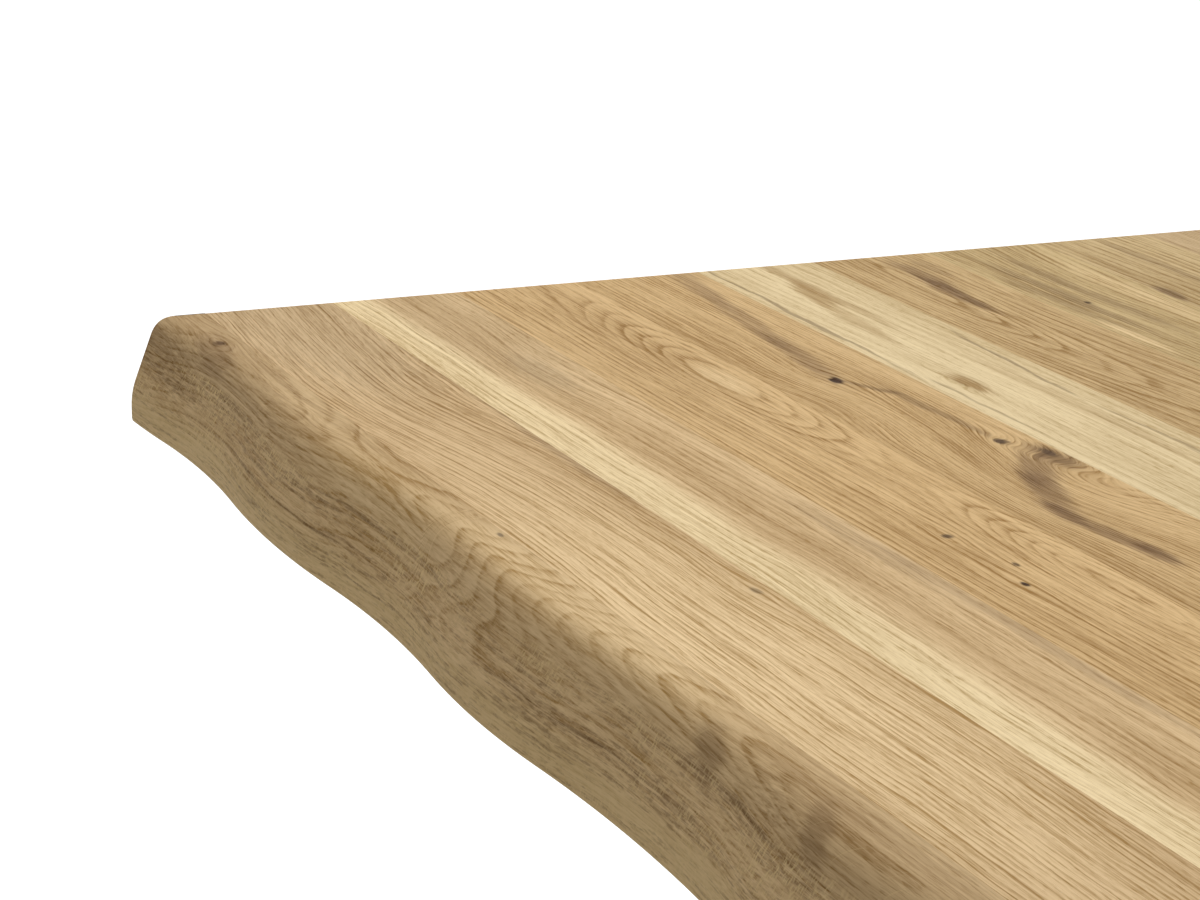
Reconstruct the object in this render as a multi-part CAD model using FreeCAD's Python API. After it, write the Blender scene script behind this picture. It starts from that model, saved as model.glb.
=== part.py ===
import FreeCAD, Part

import math
import os

from FreeCAD import Vector

# A live edge dining table: an oak top glued up from staves on two steel frames.
# Lengths are in millimetres. The origin is on the floor under the middle of the top,
# X runs along the grain, Y across it towards the back edge and Z up.

# The table as a whole
TABLE_HEIGHT = 760.0
TOP_LENGTH = 2000.0
TOP_WIDTH = 900.0
TOP_THICKNESS = 40.0

# Staves of the top
STAVE_WIDTH = 51.2
FRONT_STAVE_WIDTH = 30.0
NARROWEST_BACK_STAVE = 30.0
END_TOP_ROUND = 3.0
END_BOTTOM_ROUND = 1.5
ARRIS_DEPTH = 0.34  # depth at the middle of a soft arris, as a share of its radius
SAW_ALLOWANCE = 30.0  # extra length at each end until the ends are cut

# Live edge: a chain of tangent arcs in plan, and a leaning face with a rounded crown
HALF_WAVES = (105.0, 92.0, 113.0, 100.0, 90.0, 145.0, 98.0, 120.0, 86.0, 109.0, 131.0, 94.0)
FIRST_HALF_WAVE_OVERHANG = 70.0
BACK_EDGE_SHIFT = 545.0
WAVE_SLOPE = 4.8  # degrees, where one half wave passes into the next
FACE_LEAN = 21.0  # degrees from upright
FACE_FOOT = 11.0
FACE_FOOT_ROUND = 30.0
CROWN_ROUND = 10.5
CROWN_BREAK = 5.0  # degrees that are left where the crown meets the flat of the top

# Steel frames under the top
FRAME_FROM_END = 350.0
FRAME_FROM_SIDE = 110.0
TUBE_WIDTH = 80.0
TUBE_DEPTH = 40.0
TUBE_WALL = 2.0
TUBE_CORNER = 4.0
PLATE_WIDTH = 120.0
PLATE_THICKNESS = 6.0
PLATE_CORNER = 10.0
WELD_LEG = 3.0
WELD_TOE = 0.4

# Bolts that hold the frames to the top, in slots that let the oak move
BOLT_DIAMETER = 8.0
BOLT_LENGTH = 30.0
BOLT_HEAD_DIAMETER = 14.0
BOLT_HEAD_HEIGHT = 4.4
BOLT_KEY_WIDTH = 5.0
BOLT_KEY_DEPTH = 2.6
BOLT_FROM_PLATE_EDGE = 15.0
BOLT_FROM_TUBE = 30.0
BOLT_PITCH = 180.0
BOLT_SLOT_TRAVEL = 12.0
WASHER_DIAMETER = 20.0
WASHER_THICKNESS = 2.0
INSERT_DIAMETER = 12.0
INSERT_LENGTH = 20.0
INSERT_SINK = 0.5
INSERT_FLANGE_DIAMETER = 15.0
INSERT_FLANGE = 1.5

# Steel channels let into the underside
CHANNEL_FROM_END = 180.0
CHANNEL_FROM_SIDE = 70.0
CHANNEL_WIDTH = 40.0
CHANNEL_DEPTH = 12.0
CHANNEL_WALL = 3.0
CHANNEL_SCREWS = 5
CHANNEL_SCREW_PITCH = 152.0
CHANNEL_SLOT_TRAVEL = 10.0
SCREW_DIAMETER = 5.0
SCREW_LENGTH = 22.0
SCREW_TIP = 4.0
SCREW_HEAD_DIAMETER = 10.0
SCREW_HEAD_HEIGHT = 3.4
SCREW_KEY_WIDTH = 3.0
SCREW_KEY_DEPTH = 1.8
ROUTER_RADIUS = 6.0

# Levelling feet
FOOT_FROM_FRAME_END = 70.0
FOOT_BASE_DIAMETER = 38.0
FOOT_BASE_HEIGHT = 8.0
FOOT_BASE_SKIRT = 3.0
FOOT_BASE_TOP_DIAMETER = 26.0
FOOT_GRIPS = 10
FOOT_GRIP_DIAMETER = 6.0
FOOT_GRIP_CUT = 1.2
STUD_DIAMETER = 10.0
STUD_LENGTH = 40.0
STUD_CHAMFER = 1.0
STUD_HEAD_DIAMETER = 15.0
STUD_HEAD_HEIGHT = 3.0
STUD_FROM_FLOOR = 2.5
RIVET_BODY_DIAMETER = 13.0
RIVET_BODY_LENGTH = 16.0
RIVET_FLANGE_DIAMETER = 19.0
RIVET_FLANGE = 1.0
RIVET_BULGE_DIAMETER = 17.0
RIVET_BULGE = 4.0

# Clearances
GROOVE_CLEARANCE = 0.5
HOLE_CLEARANCE = 0.1
SLOT_CLEARANCE = 0.5
THREAD_CLEARANCE = 0.05
FOOT_REST_GAP = 0.4

# Places worked out from the sizes above
UNDERSIDE = TABLE_HEIGHT - TOP_THICKNESS
PLATE_BOTTOM = UNDERSIDE - PLATE_THICKNESS
RUNNER_BOTTOM = FOOT_BASE_HEIGHT + FOOT_REST_GAP + RIVET_FLANGE
FRAME_WIDTH = TOP_WIDTH - 2 * FRAME_FROM_SIDE
FRAME_X = TOP_LENGTH / 2 - FRAME_FROM_END
CHANNEL_LENGTH = TOP_WIDTH - 2 * CHANNEL_FROM_SIDE
FRAME_PLACES = {"left": -FRAME_X, "right": FRAME_X}
CHANNEL_END_X = TOP_LENGTH / 2 - CHANNEL_FROM_END
CHANNEL_PLACES = {"left": -CHANNEL_END_X, "middle": 0.0, "right": CHANNEL_END_X}
SIDES = {"front": -1, "back": 1}

UP = Vector(0, 0, 1)


# Shared building functions
def block(low, high):
    """A box between two opposite corners."""
    size = Vector(*high) - Vector(*low)
    return Part.makeBox(size.x, size.y, size.z, Vector(*low))


def cylinder(diameter, height, x, y, z):
    """An upright cylinder that stands on (x, y, z)."""
    return Part.makeCylinder(diameter / 2, height, Vector(x, y, z), UP)


def polygon_prism(points, direction):
    """Extrude the closed polygon through the points."""
    outline = Part.makePolygon(points + points[:1])
    return Part.Face(outline).extrude(direction)


def revolved(outline):
    """Turn a closed outline of (radius, height) pairs about Z."""
    points = [Vector(radius, 0, height) for radius, height in outline]
    wire = Part.makePolygon(points + points[:1])
    return Part.Face(wire).revolve(Vector(), UP, 360)


def hexagon_prism(width, height):
    """An upright hexagon, measured across its flats, that stands on the origin."""
    radius = width / math.sqrt(3)
    angles = [math.radians(60 * corner) for corner in range(6)]
    corners = [Vector(radius * math.cos(a), radius * math.sin(a), 0) for a in angles]
    return polygon_prism(corners, UP * height)


def rounded_slab(width, depth, height, corner):
    """A plate with rounded upright edges, centred on Z and standing on the origin."""
    slab = block((-width / 2, -depth / 2, 0), (width / 2, depth / 2, height))
    upright = [edge for edge in slab.Edges if abs(edge.tangentAt(edge.FirstParameter).z) > 0.99]
    return slab.makeFillet(corner, upright)


def slot_across(width, travel, height):
    """An upright slot with round ends that lets a bolt move along Y."""
    middle = block((-width / 2, -travel / 2, 0), (width / 2, travel / 2, height))
    ends = [cylinder(width, height, 0, side * travel / 2, 0) for side in (-1, 1)]
    return middle.fuse(ends).removeSplitter()


def moved(shape, x, y, z):
    """A copy of the shape at (x, y, z)."""
    copy = shape.copy()
    copy.translate(Vector(x, y, z))
    return copy


def set_of(shape, places, z):
    """Copies of one shape at several (x, y) places."""
    return Part.makeCompound([moved(shape, x, y, z) for x, y in places])


def export(name, shape):
    """Write one piece, or a set of like pieces, to its own file."""
    shape.exportStep("parts/" + name + ".step")
    print(name, len(shape.Solids), round(shape.Volume / 1000, 1), "cm3", shape.isValid())


# Places of the fasteners
def bolt_places(frame_x):
    """Where the bolts of one frame stand, as (x, y) pairs."""
    row = PLATE_WIDTH / 2 - BOLT_FROM_PLATE_EDGE
    outer = FRAME_WIDTH / 2 - TUBE_DEPTH - BOLT_FROM_TUBE
    across = (-outer, -outer + BOLT_PITCH, outer - BOLT_PITCH, outer)
    return [(frame_x + side * row, y) for side in (-1, 1) for y in across]


def screw_places(channel_x):
    """Where the screws of one channel stand, as (x, y) pairs."""
    first = -CHANNEL_SCREW_PITCH * (CHANNEL_SCREWS - 1) / 2
    return [(channel_x, first + number * CHANNEL_SCREW_PITCH) for number in range(CHANNEL_SCREWS)]


def foot_y(side):
    """How far the feet on the front (-1) or back (1) stand from the middle."""
    return side * (FRAME_WIDTH / 2 - FOOT_FROM_FRAME_END)


def foot_places(frame_x):
    """Where the feet of one frame stand, as (x, y) pairs."""
    return [(frame_x, foot_y(side)) for side in SIDES.values()]


# The top
def stave_joints():
    """The Y places of the glue joints, from the front edge to the back edge."""
    room = TOP_WIDTH - FRONT_STAVE_WIDTH - NARROWEST_BACK_STAVE
    count = int(room // STAVE_WIDTH)
    first = -TOP_WIDTH / 2 + FRONT_STAVE_WIDTH
    return [first + number * STAVE_WIDTH for number in range(count + 1)]


def end_waste(end):
    """What is planed off one end (-1 or 1) of the glued top, which leaves soft arrises."""
    half = TOP_LENGTH / 2

    def at(inward, height):
        return Vector(end * (half - inward), -TOP_WIDTH, height)

    def soft_arris(radius, start, finish, height, toward):
        middle = radius * ARRIS_DEPTH
        return Part.Arc(start, at(middle, height + toward * middle), finish).toShape()

    top_start = at(END_TOP_ROUND, TABLE_HEIGHT)
    top_finish = at(0, TABLE_HEIGHT - END_TOP_ROUND)
    bottom_start = at(0, UNDERSIDE + END_BOTTOM_ROUND)
    bottom_finish = at(END_BOTTOM_ROUND, UNDERSIDE)
    waste = [
        bottom_finish,
        at(END_BOTTOM_ROUND, UNDERSIDE - TOP_THICKNESS),
        at(-2 * SAW_ALLOWANCE, UNDERSIDE - TOP_THICKNESS),
        at(-2 * SAW_ALLOWANCE, TABLE_HEIGHT + TOP_THICKNESS),
        at(END_TOP_ROUND, TABLE_HEIGHT + TOP_THICKNESS),
        top_start,
    ]
    edges = [
        soft_arris(END_TOP_ROUND, top_start, top_finish, TABLE_HEIGHT, -1),
        Part.LineSegment(top_finish, bottom_start).toShape(),
        soft_arris(END_BOTTOM_ROUND, bottom_start, bottom_finish, UNDERSIDE, 1),
    ]
    outline = Part.Wire(edges + Part.makePolygon(waste).Edges)
    return Part.Face(outline).extrude(Vector(0, 2 * TOP_WIDTH, 0))


def edge_waste_section():
    """What the live edge's cutter takes away, as a closed outline.

    X is measured outwards from the lower arris and Z up from the underside. The foot
    stands upright, a wide curve turns it into the leaning face, and the crown rounds
    that over into the flat of the top.
    """
    lean = math.radians(FACE_LEAN)
    break_angle = math.radians(CROWN_BREAK)

    def at(outward, height):
        return Vector(outward, 0, height)

    foot_reach = FACE_FOOT_ROUND * math.tan(lean / 2)
    foot_start = FACE_FOOT - foot_reach
    foot_low = at(0, foot_start)
    foot_middle = at(
        -FACE_FOOT_ROUND * (1 - math.cos(lean / 2)),
        foot_start + FACE_FOOT_ROUND * math.sin(lean / 2),
    )
    foot_high = at(-foot_reach * math.sin(lean), FACE_FOOT + foot_reach * math.cos(lean))

    centre_height = TOP_THICKNESS - CROWN_ROUND * math.cos(break_angle)
    face_height = centre_height + CROWN_ROUND * math.sin(lean)
    face_inset = (face_height - FACE_FOOT) * math.tan(lean)
    centre_inset = face_inset + CROWN_ROUND * math.cos(lean)

    def crown_point(angle):
        outward = CROWN_ROUND * math.sin(angle) - centre_inset
        return at(outward, centre_height + CROWN_ROUND * math.cos(angle))

    face_angle = math.pi / 2 - lean
    crown_low = crown_point(face_angle)
    crown_middle = crown_point((face_angle + break_angle) / 2)
    crown_high = crown_point(break_angle)

    outside = [
        crown_high,
        at(crown_high.x, 2 * TOP_THICKNESS),
        at(TOP_THICKNESS, 2 * TOP_THICKNESS),
        at(TOP_THICKNESS, -TOP_THICKNESS),
        at(0, -TOP_THICKNESS),
        foot_low,
    ]
    edges = [
        Part.Arc(foot_low, foot_middle, foot_high).toShape(),
        Part.LineSegment(foot_high, crown_low).toShape(),
        Part.Arc(crown_low, crown_middle, crown_high).toShape(),
    ]
    return Part.Wire(edges + Part.makePolygon(outside).Edges)


def half_waves(shift):
    """The start and the length of each half wave along one edge, swinging out and in by turns."""
    start = -TOP_LENGTH / 2 - FIRST_HALF_WAVE_OVERHANG - shift
    waves = []
    while start < TOP_LENGTH / 2 + SAW_ALLOWANCE:
        length = HALF_WAVES[len(waves) % len(HALF_WAVES)]
        waves.append((start, length))
        start += length
    return waves


def edge_waste(shift):
    """What is milled off along the front edge, one turned piece for each half wave."""
    slope = math.radians(WAVE_SLOPE)
    waves = half_waves(shift)
    crests = [length for start, length in waves[::2] if abs(start + length / 2) < TOP_LENGTH / 2]
    swing = max(crests) / 2 * math.tan(slope / 2)
    section = Part.Face(edge_waste_section())
    waste = []
    for number, (start, length) in enumerate(waves):
        outward = 1 if number % 2 == 0 else -1
        radius = length / 2 / math.sin(slope)
        centre_y = -TOP_WIDTH / 2 + swing + outward * radius * math.cos(slope)
        piece = section.copy()
        if outward < 0:
            piece.rotate(Vector(), UP, 180)
        piece.translate(Vector(radius, 0, 0))
        piece = piece.revolve(Vector(), UP, 2 * WAVE_SLOPE)
        piece.rotate(Vector(), UP, -outward * 90 - WAVE_SLOPE)
        piece.translate(Vector(start + length / 2, centre_y, UNDERSIDE))
        waste.append(piece)
    return waste


def underside_cuts():
    """Everything that is routed and drilled into the underside of the top."""
    cuts = []
    for x in CHANNEL_PLACES.values():
        cuts.extend(channel_grooves(x))
        pilot = SCREW_DIAMETER + 2 * HOLE_CLEARANCE
        cuts.extend(cylinder(pilot, SCREW_LENGTH, px, py, UNDERSIDE) for px, py in screw_places(x))
    insert_depth = BOLT_LENGTH - WASHER_THICKNESS - PLATE_THICKNESS + GROOVE_CLEARANCE
    bore = INSERT_DIAMETER + 2 * HOLE_CLEARANCE
    seat = INSERT_FLANGE_DIAMETER + 2 * HOLE_CLEARANCE
    for x in FRAME_PLACES.values():
        for px, py in bolt_places(x):
            cuts.append(cylinder(bore, insert_depth, px, py, UNDERSIDE))
            cuts.append(cylinder(seat, INSERT_SINK + INSERT_FLANGE, px, py, UNDERSIDE))
    return cuts


def channel_grooves(x):
    """The shallow recess for one channel's web and the two deep slots for its flanges."""
    half_width = CHANNEL_WIDTH / 2 + GROOVE_CLEARANCE
    length = CHANNEL_LENGTH + 2 * ROUTER_RADIUS
    web_depth = CHANNEL_WALL + GROOVE_CLEARANCE
    recess = moved(rounded_slab(2 * half_width, length, web_depth, ROUTER_RADIUS), x, 0, UNDERSIDE)
    slot_width = CHANNEL_WALL + 2 * GROOVE_CLEARANCE
    slot_depth = CHANNEL_DEPTH + GROOVE_CLEARANCE
    reach = CHANNEL_LENGTH / 2 + GROOVE_CLEARANCE
    slots = []
    for side in (-1, 1):
        centre = x + side * (CHANNEL_WIDTH - CHANNEL_WALL) / 2
        low = (centre - slot_width / 2, -reach, UNDERSIDE)
        high = (centre + slot_width / 2, reach, UNDERSIDE + slot_depth)
        slots.append(block(low, high))
    return [recess] + slots


def worked(stave, cuts):
    """Cut whatever reaches into this stave."""
    near = [cut for cut in cuts if cut.BoundBox.intersect(stave.BoundBox)]
    return stave.cut(near).Solids[0]


def rough_stave(low, high):
    """A straight stave, longer than the top, between two places across it."""
    reach = TOP_LENGTH / 2 + SAW_ALLOWANCE
    return block((-reach, low, UNDERSIDE), (reach, high, TABLE_HEIGHT))


def make_top():
    """All staves of the top, keyed by their names."""
    joints = stave_joints()
    staves = {"front_edge_stave": rough_stave(-TOP_WIDTH / 2, joints[0])}
    for number, (low, high) in enumerate(zip(joints, joints[1:]), start=2):
        staves["stave_%02d" % number] = rough_stave(low, high)
    staves["back_edge_stave"] = rough_stave(joints[-1], TOP_WIDTH / 2)

    front_waste = edge_waste(0.0)
    back_waste = edge_waste(BACK_EDGE_SHIFT)
    for piece in back_waste:
        piece.rotate(Vector(), UP, 180)
    cuts = front_waste + back_waste + [end_waste(end) for end in (-1, 1)] + underside_cuts()
    return {name: worked(stave, cuts) for name, stave in staves.items()}


# Channels in the underside
def make_channel(x):
    """A steel channel, open upwards, with slotted screw holes in its web."""
    half = CHANNEL_WIDTH / 2
    inner = half - CHANNEL_WALL
    low = UNDERSIDE
    section = [
        (-half, low),
        (half, low),
        (half, low + CHANNEL_DEPTH),
        (inner, low + CHANNEL_DEPTH),
        (inner, low + CHANNEL_WALL),
        (-inner, low + CHANNEL_WALL),
        (-inner, low + CHANNEL_DEPTH),
        (-half, low + CHANNEL_DEPTH),
    ]
    points = [Vector(x + px, -CHANNEL_LENGTH / 2, pz) for px, pz in section]
    bar = polygon_prism(points, Vector(0, CHANNEL_LENGTH, 0))
    slot = slot_across(SCREW_DIAMETER + SLOT_CLEARANCE, CHANNEL_SLOT_TRAVEL, CHANNEL_WALL)
    return bar.cut([moved(slot, px, py, low) for px, py in screw_places(x)])


def make_channel_screw():
    """A pan head wood screw, its head hanging below the origin and its shank above it."""
    radius = SCREW_DIAMETER / 2
    head = SCREW_HEAD_DIAMETER / 2
    edge = SCREW_HEAD_HEIGHT / 3
    screw = revolved(
        [
            (0, -SCREW_HEAD_HEIGHT),
            (head - edge, -SCREW_HEAD_HEIGHT),
            (head, -SCREW_HEAD_HEIGHT + edge),
            (head, 0),
            (radius, 0),
            (radius, SCREW_LENGTH - SCREW_TIP),
            (0, SCREW_LENGTH),
        ]
    )
    key = hexagon_prism(SCREW_KEY_WIDTH, SCREW_KEY_DEPTH)
    return screw.cut(moved(key, 0, 0, -SCREW_HEAD_HEIGHT))


# Frames
def tube(length):
    """A rectangular steel tube along Z, centred on it and standing on the origin."""
    outside = rounded_slab(TUBE_WIDTH, TUBE_DEPTH, length, TUBE_CORNER)
    inner_corner = TUBE_CORNER - TUBE_WALL
    inside = rounded_slab(TUBE_WIDTH - 2 * TUBE_WALL, TUBE_DEPTH - 2 * TUBE_WALL, length, inner_corner)
    return outside.cut(inside)


def mitre_prism(corners, x):
    """A cutting solid as wide as the frame, from a polygon of (y, z) corners."""
    points = [Vector(x - TUBE_WIDTH / 2, y, z) for y, z in corners]
    return polygon_prism(points, Vector(TUBE_WIDTH, 0, 0))


def make_upright(x, side):
    """A tube from the mitre at the floor up to the plate."""
    outer = FRAME_WIDTH / 2
    inner = outer - TUBE_DEPTH
    straight = moved(tube(PLATE_BOTTOM - RUNNER_BOTTOM), x, side * (outer - TUBE_DEPTH / 2), RUNNER_BOTTOM)
    corners = [
        (side * outer, RUNNER_BOTTOM),
        (side * outer, PLATE_BOTTOM),
        (side * inner, PLATE_BOTTOM),
        (side * inner, RUNNER_BOTTOM + TUBE_DEPTH),
    ]
    return straight.common(mitre_prism(corners, x))


def make_weld(x, side):
    """The fillet weld round an upright where it meets the plate, open on the flush outer side."""
    outer = FRAME_WIDTH / 2
    grown = 2 * WELD_LEG
    bead = rounded_slab(TUBE_WIDTH + grown, TUBE_DEPTH + grown, WELD_LEG, TUBE_CORNER + WELD_LEG)
    lower = [edge for edge in bead.Edges if edge.BoundBox.ZMax < WELD_LEG / 2]
    bead = bead.makeChamfer(WELD_LEG - WELD_TOE, lower)
    bead = bead.cut(rounded_slab(TUBE_WIDTH, TUBE_DEPTH, WELD_LEG, TUBE_CORNER))
    bead = moved(bead, x, side * (outer - TUBE_DEPTH / 2), PLATE_BOTTOM - WELD_LEG)
    low_y, high_y = sorted((side * outer, side * (outer + TUBE_DEPTH)))
    past_end = block((x - TUBE_WIDTH, low_y, 0), (x + TUBE_WIDTH, high_y, TABLE_HEIGHT))
    return bead.cut(past_end)


def make_runner(x):
    """The tube along the floor, mitred at both ends and drilled for the rivet nuts."""
    outer = FRAME_WIDTH / 2
    inner = outer - TUBE_DEPTH
    straight = tube(FRAME_WIDTH)
    straight.rotate(Vector(), Vector(1, 0, 0), -90)
    straight.translate(Vector(x, -outer, RUNNER_BOTTOM + TUBE_DEPTH / 2))
    corners = [
        (-outer, RUNNER_BOTTOM),
        (outer, RUNNER_BOTTOM),
        (inner, RUNNER_BOTTOM + TUBE_DEPTH),
        (-inner, RUNNER_BOTTOM + TUBE_DEPTH),
    ]
    runner = straight.common(mitre_prism(corners, x))
    hole = RIVET_BODY_DIAMETER + 2 * HOLE_CLEARANCE
    holes = [cylinder(hole, TUBE_WALL, px, py, RUNNER_BOTTOM) for px, py in foot_places(x)]
    return runner.cut(holes)


def make_plate(x):
    """The flat bar under the top, with slots across the grain."""
    plate = moved(rounded_slab(PLATE_WIDTH, FRAME_WIDTH, PLATE_THICKNESS, PLATE_CORNER), x, 0, PLATE_BOTTOM)
    slot = slot_across(BOLT_DIAMETER + 2 * SLOT_CLEARANCE, BOLT_SLOT_TRAVEL, PLATE_THICKNESS)
    return plate.cut([moved(slot, px, py, PLATE_BOTTOM) for px, py in bolt_places(x)])


# Fasteners of the frames
def make_bolt():
    """A button head bolt, its head hanging below the origin and its shank above it."""
    head = BOLT_HEAD_DIAMETER / 2
    dome_radius = (head**2 + BOLT_HEAD_HEIGHT**2) / (2 * BOLT_HEAD_HEIGHT)
    dome_centre = dome_radius - BOLT_HEAD_HEIGHT
    half_angle = math.asin(head / dome_radius) / 2
    crown = Vector(0, 0, -BOLT_HEAD_HEIGHT)
    shoulder = Vector(dome_radius * math.sin(half_angle), 0, dome_centre - dome_radius * math.cos(half_angle))
    rim = Vector(head, 0, 0)
    outline = Part.Wire(
        [
            Part.Arc(crown, shoulder, rim).toShape(),
            Part.LineSegment(rim, Vector()).toShape(),
            Part.LineSegment(Vector(), crown).toShape(),
        ]
    )
    dome = Part.Face(outline).revolve(Vector(), UP, 360)
    shank = cylinder(BOLT_DIAMETER, BOLT_LENGTH, 0, 0, 0)
    key = hexagon_prism(BOLT_KEY_WIDTH, BOLT_KEY_DEPTH)
    return dome.fuse(shank).removeSplitter().cut(moved(key, 0, 0, -BOLT_HEAD_HEIGHT))


def make_washer():
    """A flat washer that stands on the origin."""
    hole = BOLT_DIAMETER + 2 * HOLE_CLEARANCE
    ring = cylinder(WASHER_DIAMETER, WASHER_THICKNESS, 0, 0, 0)
    return ring.cut(cylinder(hole, WASHER_THICKNESS, 0, 0, 0))


def make_insert():
    """A threaded insert with a flange at its lower end, standing on the origin."""
    bore = BOLT_DIAMETER / 2 + THREAD_CLEARANCE
    flange = INSERT_FLANGE_DIAMETER / 2
    body = INSERT_DIAMETER / 2
    return revolved(
        [
            (bore, 0),
            (flange, 0),
            (flange, INSERT_FLANGE),
            (body, INSERT_FLANGE),
            (body, INSERT_LENGTH),
            (bore, INSERT_LENGTH),
        ]
    )


# Levelling feet
def make_rivet_nut():
    """A rivet nut whose flange lies under the tube wall, with the wall's underside at the origin."""
    bore = STUD_DIAMETER / 2 + THREAD_CLEARANCE
    body = RIVET_BODY_DIAMETER / 2
    flange = RIVET_FLANGE_DIAMETER / 2
    bulge = RIVET_BULGE_DIAMETER / 2
    return revolved(
        [
            (bore, -RIVET_FLANGE),
            (flange, -RIVET_FLANGE),
            (flange, 0),
            (body, 0),
            (body, TUBE_WALL),
            (bulge, TUBE_WALL),
            (body, TUBE_WALL + RIVET_BULGE),
            (body, RIVET_BODY_LENGTH),
            (bore, RIVET_BODY_LENGTH),
        ]
    )


def make_stud():
    """A threaded stud with a flat head that the moulded base grips."""
    radius = STUD_DIAMETER / 2
    head = STUD_HEAD_DIAMETER / 2
    top = STUD_FROM_FLOOR + STUD_LENGTH
    return revolved(
        [
            (0, STUD_FROM_FLOOR),
            (head, STUD_FROM_FLOOR),
            (head, STUD_FROM_FLOOR + STUD_HEAD_HEIGHT),
            (radius, STUD_FROM_FLOOR + STUD_HEAD_HEIGHT),
            (radius, top - STUD_CHAMFER),
            (radius - STUD_CHAMFER, top),
            (0, top),
        ]
    )


def make_foot_base():
    """The moulded base, with finger grips round its rim and a pocket for the stud's head."""
    rim = FOOT_BASE_DIAMETER / 2
    top = FOOT_BASE_TOP_DIAMETER / 2
    body = revolved(
        [
            (0, 0),
            (rim, 0),
            (rim, FOOT_BASE_SKIRT),
            (top, FOOT_BASE_HEIGHT),
            (0, FOOT_BASE_HEIGHT),
        ]
    )
    pocket = cylinder(
        STUD_HEAD_DIAMETER + 2 * THREAD_CLEARANCE,
        STUD_HEAD_HEIGHT + 2 * THREAD_CLEARANCE,
        0,
        0,
        STUD_FROM_FLOOR - THREAD_CLEARANCE,
    )
    neck = cylinder(STUD_DIAMETER + 2 * THREAD_CLEARANCE, FOOT_BASE_HEIGHT, 0, 0, STUD_FROM_FLOOR)
    cuts = [pocket, neck]
    reach = rim + FOOT_GRIP_DIAMETER / 2 - FOOT_GRIP_CUT
    for number in range(FOOT_GRIPS):
        angle = 2 * math.pi * number / FOOT_GRIPS
        grip_x = reach * math.cos(angle)
        grip_y = reach * math.sin(angle)
        cuts.append(cylinder(FOOT_GRIP_DIAMETER, FOOT_BASE_HEIGHT, grip_x, grip_y, 0))
    return body.cut(cuts)


# Build and write every piece
def main():
    os.makedirs("parts", exist_ok=True)

    for name, stave in make_top().items():
        export(name, stave)

    screw = make_channel_screw()
    for place, x in CHANNEL_PLACES.items():
        export("channel_" + place, make_channel(x))
        export("channel_screws_" + place, set_of(screw, screw_places(x), UNDERSIDE))

    washer_bottom = PLATE_BOTTOM - WASHER_THICKNESS
    for place, x in FRAME_PLACES.items():
        export("frame_plate_" + place, make_plate(x))
        export("frame_runner_" + place, make_runner(x))
        welds = [make_weld(x, side) for side in SIDES.values()]
        export("frame_welds_" + place, Part.makeCompound(welds))
        export("frame_bolts_" + place, set_of(make_bolt(), bolt_places(x), washer_bottom))
        export("frame_washers_" + place, set_of(make_washer(), bolt_places(x), washer_bottom))
        export("top_inserts_" + place, set_of(make_insert(), bolt_places(x), UNDERSIDE + INSERT_SINK))
        export("rivet_nuts_" + place, set_of(make_rivet_nut(), foot_places(x), RUNNER_BOTTOM))
        for end, side in SIDES.items():
            corner = "_%s_%s" % (place, end)
            export("frame_upright" + corner, make_upright(x, side))
            export("foot_stud" + corner, moved(make_stud(), x, foot_y(side), 0))
            export("foot_base" + corner, moved(make_foot_base(), x, foot_y(side), 0))


main()
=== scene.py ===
# %% [markdown]
# # A live edge dining table
#
# The table is an oak top glued up from eighteen staves, carried by two black steel
# frames on levelling feet. The construction arrives as a fixed frame of solids. This
# lesson gives every one of them its finish, and models again the two edge staves,
# whose wavy milled faces need a much finer mesh than a solid's triangles.

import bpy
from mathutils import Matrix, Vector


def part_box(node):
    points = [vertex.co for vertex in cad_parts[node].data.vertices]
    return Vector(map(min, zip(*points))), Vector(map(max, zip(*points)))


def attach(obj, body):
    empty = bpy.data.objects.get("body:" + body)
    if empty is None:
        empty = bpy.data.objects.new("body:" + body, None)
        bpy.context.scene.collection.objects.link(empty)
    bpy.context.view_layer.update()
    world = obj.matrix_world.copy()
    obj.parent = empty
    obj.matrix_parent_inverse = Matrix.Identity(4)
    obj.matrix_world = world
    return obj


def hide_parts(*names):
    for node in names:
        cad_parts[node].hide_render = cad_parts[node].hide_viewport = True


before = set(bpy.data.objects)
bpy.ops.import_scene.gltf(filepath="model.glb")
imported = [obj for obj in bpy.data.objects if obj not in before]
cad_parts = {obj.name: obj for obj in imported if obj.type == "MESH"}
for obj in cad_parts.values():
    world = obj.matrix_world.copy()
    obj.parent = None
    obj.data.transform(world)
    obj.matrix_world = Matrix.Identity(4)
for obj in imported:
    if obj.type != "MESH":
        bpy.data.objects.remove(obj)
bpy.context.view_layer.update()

# %% [markdown]
# ## The view
#
# The camera stands where the photographer stood: a little above the top, near the
# front edge, looking along it towards the far left corner with a long lens. Its place
# could be found by eye, by nudging. Here it was worked out from the two directions in
# which the glue joints and the cut end run together, so the lens and both turns are
# plain numbers and the horizon stays level.

# %% Camera
import math
import bpy
from mathutils import Vector

SENSOR_WIDTH, LENS = 36.0, 115.645
CAMERA_PLACE = (0.3965, -0.8133, 1.0833)
CAMERA_TILT, CAMERA_TURN = math.radians(75.318), math.radians(68.248)

camera_data = bpy.data.cameras.new("camera")
camera_data.sensor_width = SENSOR_WIDTH
camera_data.lens = LENS
camera = bpy.data.objects.new("camera", camera_data)
camera.location = CAMERA_PLACE
camera.rotation_euler = (CAMERA_TILT, 0.0, CAMERA_TURN)
bpy.context.scene.collection.objects.link(camera)
bpy.context.scene.camera = camera
bpy.context.scene.view_settings.view_transform = "Standard"

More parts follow.
